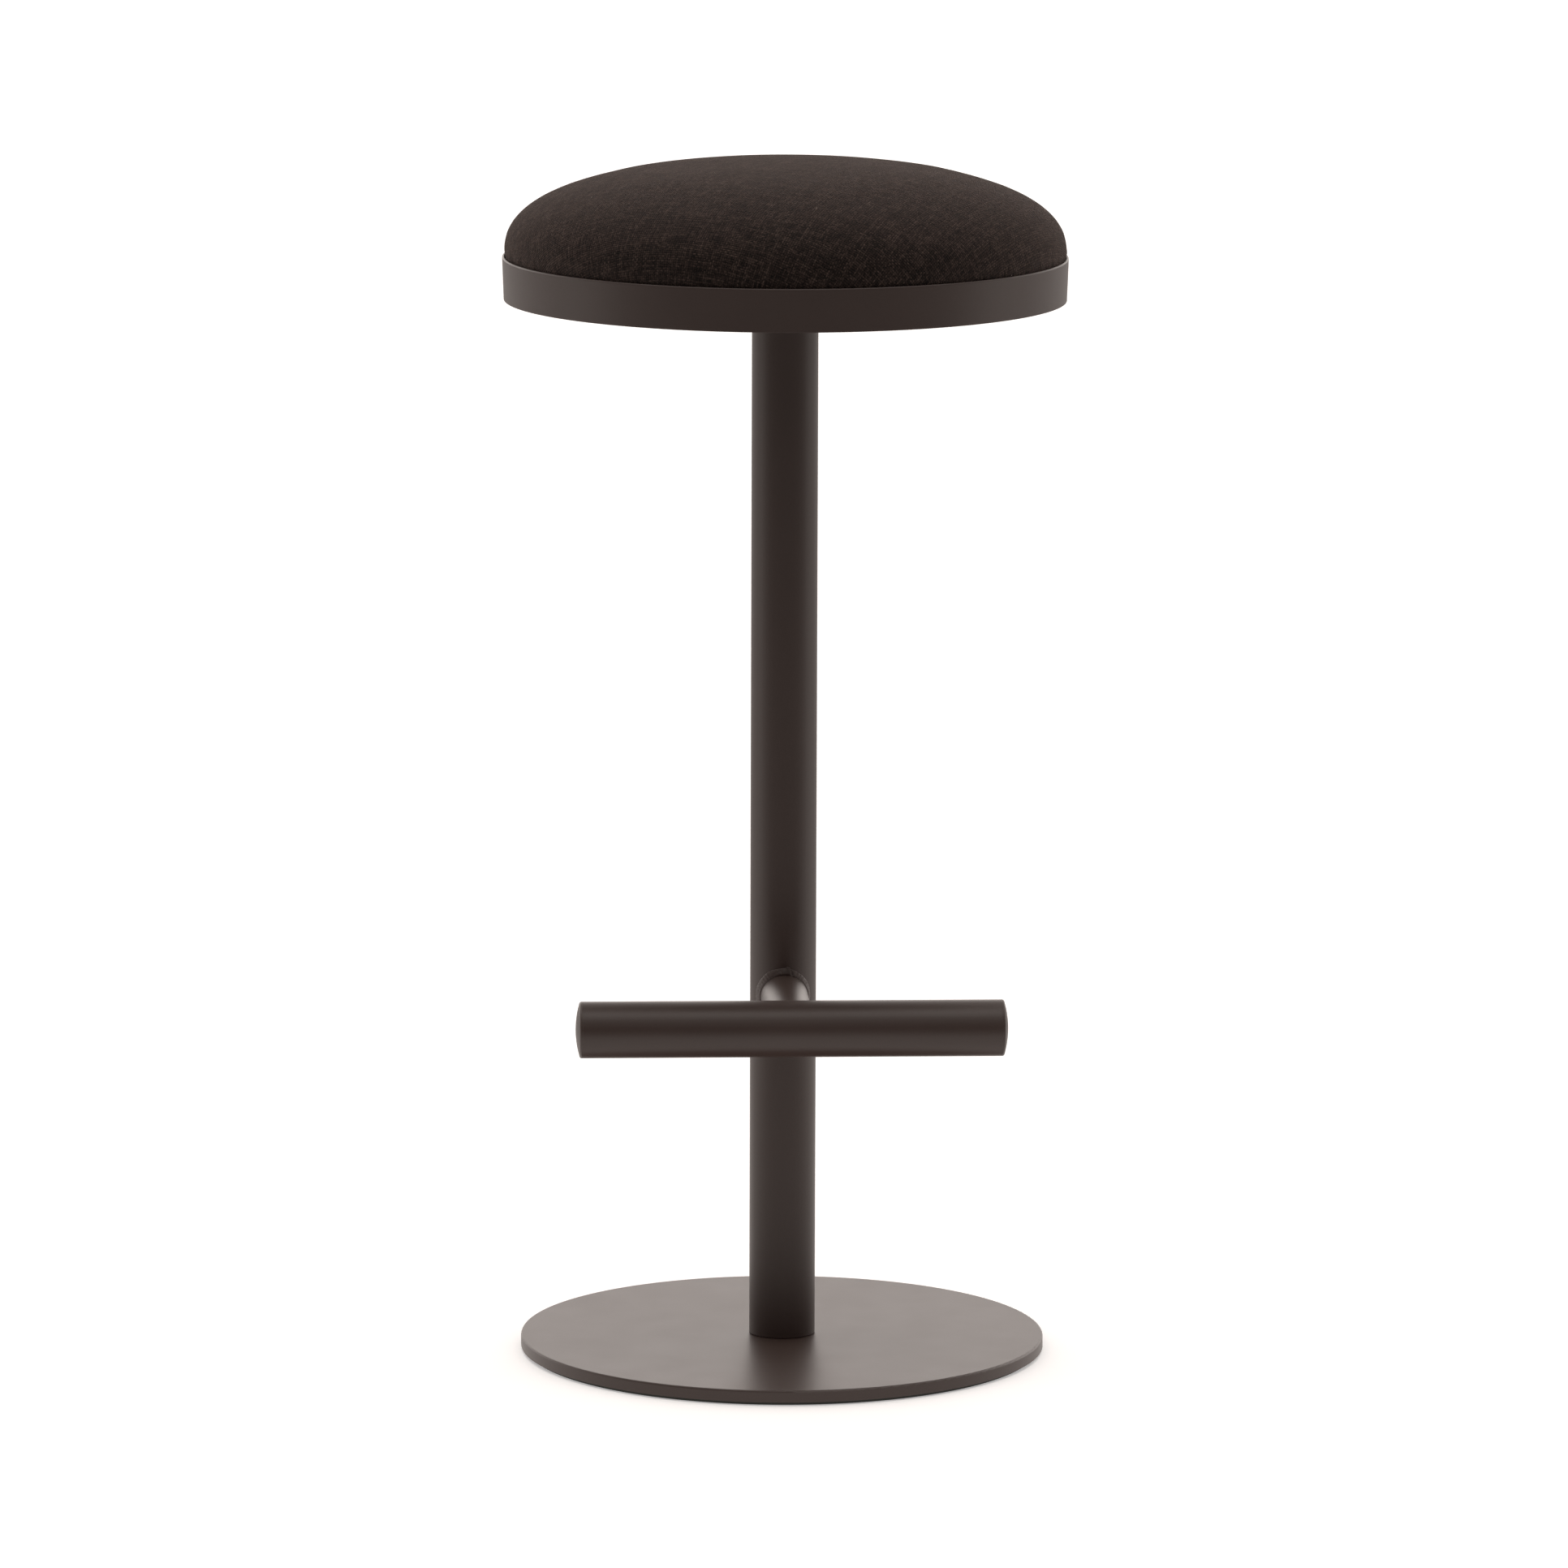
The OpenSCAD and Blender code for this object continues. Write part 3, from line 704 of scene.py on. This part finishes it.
remesh = cushion.modifiers.new("even_quads", "REMESH")
remesh.mode = "VOXEL"
remesh.voxel_size = VOXEL
apply_modifier(cushion, remesh.name)
held = cushion.vertex_groups.new(name=HELD)
held.add([v.index for v in cushion.data.vertices if v.co.z < rim_z], 1.0, "REPLACE")
blown = cushion.modifiers.new("cloth", "CLOTH")
blown.settings.use_pressure = True
blown.settings.uniform_pressure_force = PRESSURE
blown.settings.effector_weights.gravity = 0
blown.settings.vertex_group_mass = HELD
blown.point_cache.frame_start = 1
blown.point_cache.frame_end = FRAMES
for step in range(1, FRAMES + 1):
    scene.frame_set(step)
apply_modifier(cushion, blown.name)
scene.frame_set(1)
crown = max(vertex.co.z for vertex in cushion.data.vertices)
print("the cloth's crown rose to", round(crown / MM, 1), "mm")


def keep_in_limits(x, y, z):
    """Move a point of the cover between the foam and the taut fabric's limit."""
    r = math.hypot(x, y)
    if z > SHOULDER_Z:
        reach = (r / SHOULDER_R) ** DOME_POWER + ((z - SHOULDER_Z) / DOME_H) ** DOME_POWER
        reach **= 1 / DOME_POWER
        pull = min(max(reach, SLACK), 1.0) / reach
        return x * pull, y * pull, SHOULDER_Z + (z - SHOULDER_Z) * pull
    if r > tucked_r - CORNER and z > UNDER_Z + CORNER:
        pull = side_radius(z) / r
        return x * pull, y * pull, z
    return x, y, z


LOW_AT, LOW_MM, LOW_WIDE = Vector((-70, -20)) * MM, 0.7, 60 * MM
FULL_AT, FULL_MM, FULL_WIDE = Vector((125, -60)) * MM, 0.8, 50 * MM
WAVE_MM = 0.35
WAVE_SIZE = 60 * MM
FADE_IN = 14 * MM
for vertex in cushion.data.vertices:
    x, y, z = keep_in_limits(*vertex.co)
    flat = Vector((x, y))
    swell = WAVE_MM * noise.noise(Vector((x, y, z)) / WAVE_SIZE)
    swell -= LOW_MM * math.exp(-((flat - LOW_AT).length / LOW_WIDE) ** 2)
    swell += FULL_MM * math.exp(-((flat - FULL_AT).length / FULL_WIDE) ** 2)
    vertex.co = (x, y, z + swell * MM * smooth((z - SHOULDER_Z) / FADE_IN))
even = cushion.modifiers.new("finer", "SUBSURF")
even.levels = 1
apply_modifier(cushion, even.name)
tops = [v.co.z for v in cushion.data.vertices]
print("cushion has", len(tops), "points; crown at", round(max(tops) / MM, 1), "mm")

# %% [markdown]
# Each point now stores its place in the cloth: its direction from the column's axis, and
# its distance from the crown measured along the surface. The distance comes from adding
# up short steps along the outline.

# %% Store each point's place in the cloth
CLOTH_STEPS = 400
NEAR_AXIS = 1e-9

steps = [dome_point(math.pi / 2 * (1 - i / CLOTH_STEPS)) for i in range(CLOTH_STEPS + 1)]
reach_along = [0.0]
for (r0, z0), (r1, z1) in zip(steps, steps[1:]):
    reach_along.append(reach_along[-1] + math.hypot(r1 - r0, z1 - z0))
# the lookup needs rising values, and the angle falls from the crown to the shoulder
falling = [-math.atan2((z - SHOULDER_Z) / DOME_H, r / SHOULDER_R) for r, z in steps]
place = cushion.data.attributes.new(CLOTH_PLACE, "FLOAT_VECTOR", "POINT")
for vertex, stored in zip(cushion.data.vertices, place.data):
    x, y, z = vertex.co
    r = math.hypot(x, y)
    angle = math.atan2((z - SHOULDER_Z) / DOME_H, r / SHOULDER_R)
    along = float(np.interp(-angle, falling, reach_along))
    if z < SHOULDER_Z:
        along = reach_along[-1] + SHOULDER_Z - z
    stored.vector = (along * x / max(r, NEAR_AXIS), along * y / max(r, NEAR_AXIS), 0)
for face in cushion.data.polygons:
    face.use_smooth = True
cushion.data.materials.append(upholstery)
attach(cushion, "seat")
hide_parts("seat_cover")
print("crown to shoulder along the cloth:", round(reach_along[-1] / MM, 1), "mm")

# %% [markdown]
# ## Weld beads
#
# The stub is welded by hand to the column and to the foot bar. A bead is a fillet: a
# band of metal that fills the corner, with one edge, or toe, on each tube. Laid by hand
# it isn't even. It swells and thins, carries ripples where the puddle froze, and shows a
# lip where the last run lapped over the first. Powder coat is too thin to hide any of
# that, and the toes catch the light as fine lines.
#
# The bead follows the saddle line where the two round tubes meet. At each step round the
# stub, a flat-topped section is drawn between the two toes and closed inside the metal.
# Sizes are in millimetres. The bead is wider on the left side than on the right.

# %% Sweep a fillet along the saddle
BEAD_STEPS = 360
BEAD_ACROSS = 15
CROWN_HIGH = 0.6
LOPSIDED = 0.3
SWELLS_ROUND = 1.7
SWELL_SHARE, DROP_SHARE = 0.16, 0.2
RIPPLE_LONG, RIPPLE_SHARE, RIPPLE_HIGH = 1.9, 0.02, 0.06
GRAINS, GRAIN_HIGH = (0.9, 4), 0.16
OVERLAP_START, OVERLAP_LONG, OVERLAP_HIGH = 0.6, 9, 0.3
LAP_WIDER, LAP_REACH, LAP_SLANT = 1.1, 3, 2.2
LIP_HIGH, LIP_WIDE = 1.5, 0.6
GROOVE_DEEP, GROOVE_WIDE, GROOVE_AT = 0.8, 0.6, 1.6


def bump_at(distance, width):
    """A bell curve, 1 at no distance."""
    return math.exp(-(distance / width) ** 2)


def bead(name, tube_face, away, legs, lap_at, seed):
    """A weld bead round the stub. `tube_face` gives the tube's y, and `away` points along
    the stub from it. `legs` are the widths on the tube at the side and on top, and on the stub."""
    mesh = bmesh.new()
    side_leg, top_leg, stub_leg = legs
    rings = []
    for i in range(BEAD_STEPS):
        turn = 2 * math.pi * i / BEAD_STEPS
        out = Vector((math.cos(turn), 0, math.sin(turn)))
        arc = ((turn - lap_at + math.pi) % (2 * math.pi) - math.pi) * stub_r / MM
        wander = noise.noise(Vector((out.x * SWELLS_ROUND, out.z * SWELLS_ROUND, seed)))
        ripple = math.sin(2 * math.pi * arc / RIPPLE_LONG + 2 * wander)
        over = smooth(arc / OVERLAP_START) * (1 - smooth(arc / OVERLAP_LONG))
        leg = side_leg * (1 - LOPSIDED * out.x) + (top_leg - side_leg) * out.z ** 2
        leg *= 1 + SWELL_SHARE * wander + RIPPLE_SHARE * ripple
        reach = (leg + LAP_WIDER * over * bump_at(arc, LAP_REACH)) * MM
        drop = stub_leg * (1 - DROP_SHARE * wander) * MM
        x, z = (stub_r + reach) * out.x, (stub_r + reach) * out.z
        tube_toe = Vector((x, tube_face(x, z), z))
        x, z = stub_r * out.x, stub_r * out.z
        corner = Vector((x, tube_face(x, z), z))
        stub_toe = corner + Vector((0, away * drop, 0))
        outward = (out + Vector((0, away, 0))).normalized()
        ring = []
        for k in range(BEAD_ACROSS):
            u = k / (BEAD_ACROSS - 1)
            crest = (1 - abs(2 * u - 1) ** 4) ** 0.5
            lap = arc - LAP_SLANT * (1 - u) ** 2
            grain = noise.noise(Vector((arc * GRAINS[0], u * GRAINS[1], seed)))
            lift = CROWN_HIGH + OVERLAP_HIGH * over + RIPPLE_HIGH * ripple + GRAIN_HIGH * grain
            lift += LIP_HIGH * bump_at(lap, LIP_WIDE)
            lift -= GROOVE_DEEP * bump_at(lap + GROOVE_AT, GROOVE_WIDE)
            spot = tube_toe.lerp(stub_toe, u) + outward * (lift * crest * MM)
            ring.append(spot)
        inward = Vector((0, -away * MM, 0))
        ring += [stub_toe - out * MM, corner - out * MM + inward, tube_toe + inward]
        rings.append([mesh.verts.new(spot + Vector((0, 0, foot_z))) for spot in ring])
    for i in range(BEAD_STEPS):
        here, there = rings[i], rings[(i + 1) % BEAD_STEPS]
        for k in range(len(here)):
            n = (k + 1) % len(here)
            mesh.faces.new((here[k], here[n], there[n], there[k]))
    bmesh.ops.recalc_face_normals(mesh, faces=mesh.faces)
    data = bpy.data.meshes.new(name)
    mesh.to_mesh(data)
    mesh.free()
    for face in data.polygons:
        face.use_smooth = True
    data.materials.append(powder_coat)
    made = bpy.data.objects.new(name, data)
    scene.collection.objects.link(made)
    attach(made, "stand")
    return made


print("stub", round(2 * stub_r / MM, 1), "mm across, at a height of", round(foot_z / MM, 1), "mm")

# %% [markdown]
# There are two beads, and each replaces a plain ring of the CAD model. The one on the
# column shows from the front. It is wide over the top of the stub, where its lap lies.
# The one on the foot bar is behind the bar, and its lap is underneath.

# %% Lay the two beads


def on_column(x, z):
    """The y of the column's front at this x."""
    return -math.sqrt(column_r ** 2 - x ** 2)


def on_bar(x, z):
    """The y of the foot bar's back at this height."""
    return bar_y + math.sqrt(bar_r ** 2 - z ** 2)


column_bead = bead("column_weld_bead", on_column, away=-1, legs=(2.4, 4.6, 2.1),
                   lap_at=math.radians(78), seed=1.7)
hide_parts("stub_weld_column")
bar_bead = bead("bar_weld_bead", on_bar, away=1, legs=(3.4, 1.9, 2.8),
                lap_at=math.radians(250), seed=5.1)
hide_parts("stub_weld_bar")
print("each bead has", len(column_bead.data.vertices), "points")
